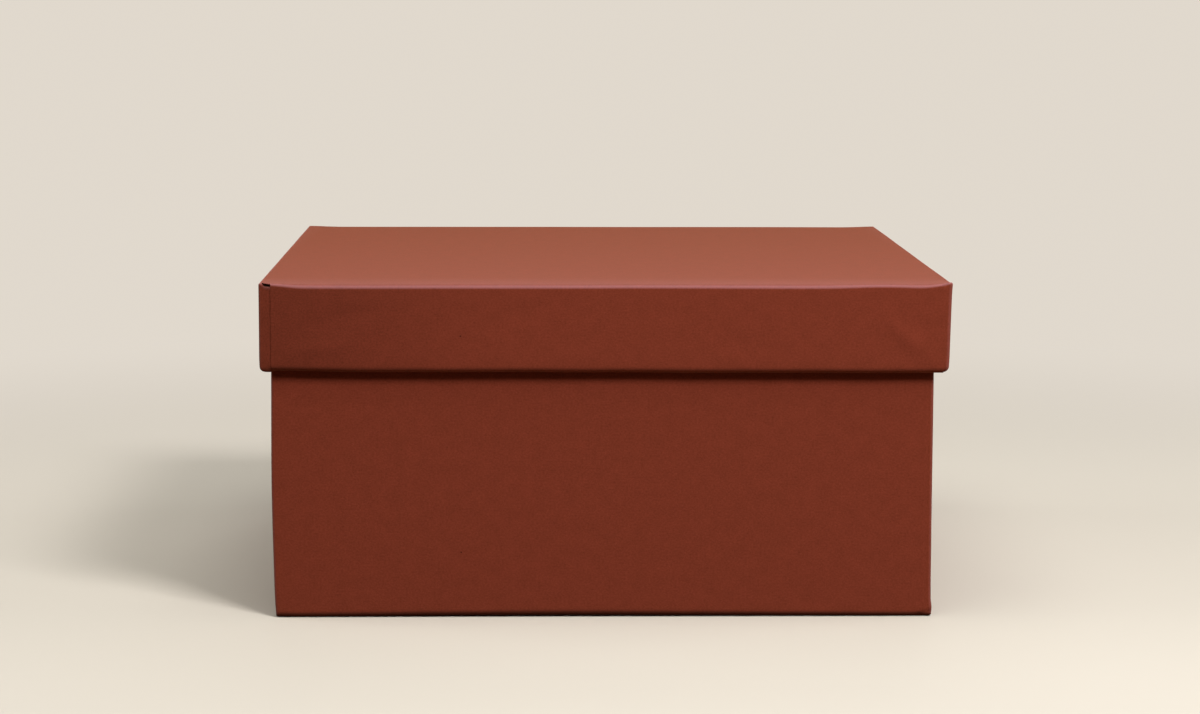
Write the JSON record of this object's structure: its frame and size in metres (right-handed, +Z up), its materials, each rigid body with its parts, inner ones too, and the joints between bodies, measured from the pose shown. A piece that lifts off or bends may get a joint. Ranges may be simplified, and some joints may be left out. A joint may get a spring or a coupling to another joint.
{
  "type": "rigid gift box",
  "caption": "Square rigid gift box: paper-wrapped greyboard base with a shallow lift-off lid whose skirt overlaps the rim.",
  "frame": {"origin": "middle of the underside of the base, on the surface that the box stands on", "axes": "+Z up, -Y towards the pictured front, +X to the right in the picture"},
  "size_m": [0.16, 0.16, 0.0792],
  "materials": {
    "terracotta_paper": "matte",
    "greyboard": "matte",
    "kraft_tape": "satin",
    "lining_paper": "matte"
  },
  "bodies": {
    "base": {"base_floor_board": "greyboard", "base_front_wall_board": "greyboard", "base_right_wall_board": "greyboard", "base_back_wall_board": "greyboard", "base_left_wall_board": "greyboard", "base_corner_tape_front_left": "kraft_tape", "base_corner_tape_front_right": "kraft_tape", "base_corner_tape_back_left": "kraft_tape", "base_corner_tape_back_right": "kraft_tape", "base_wrap": "terracotta_paper", "base_wall_lining": "lining_paper", "base_floor_lining": "lining_paper"},
    "lid": {"lid_top_board": "greyboard", "lid_front_wall_board": "greyboard", "lid_right_wall_board": "greyboard", "lid_back_wall_board": "greyboard", "lid_left_wall_board": "greyboard", "lid_corner_tape_front_left": "kraft_tape", "lid_corner_tape_front_right": "kraft_tape", "lid_corner_tape_back_left": "kraft_tape", "lid_corner_tape_back_right": "kraft_tape", "lid_wrap": "terracotta_paper", "lid_top_lining": "lining_paper"}
  },
  "joints": [
    {"name": "lid_lift", "type": "slide", "parent": "base", "child": "lid", "axis": [0, 0, 1], "range_m": [0, 0.08]}
  ]
}
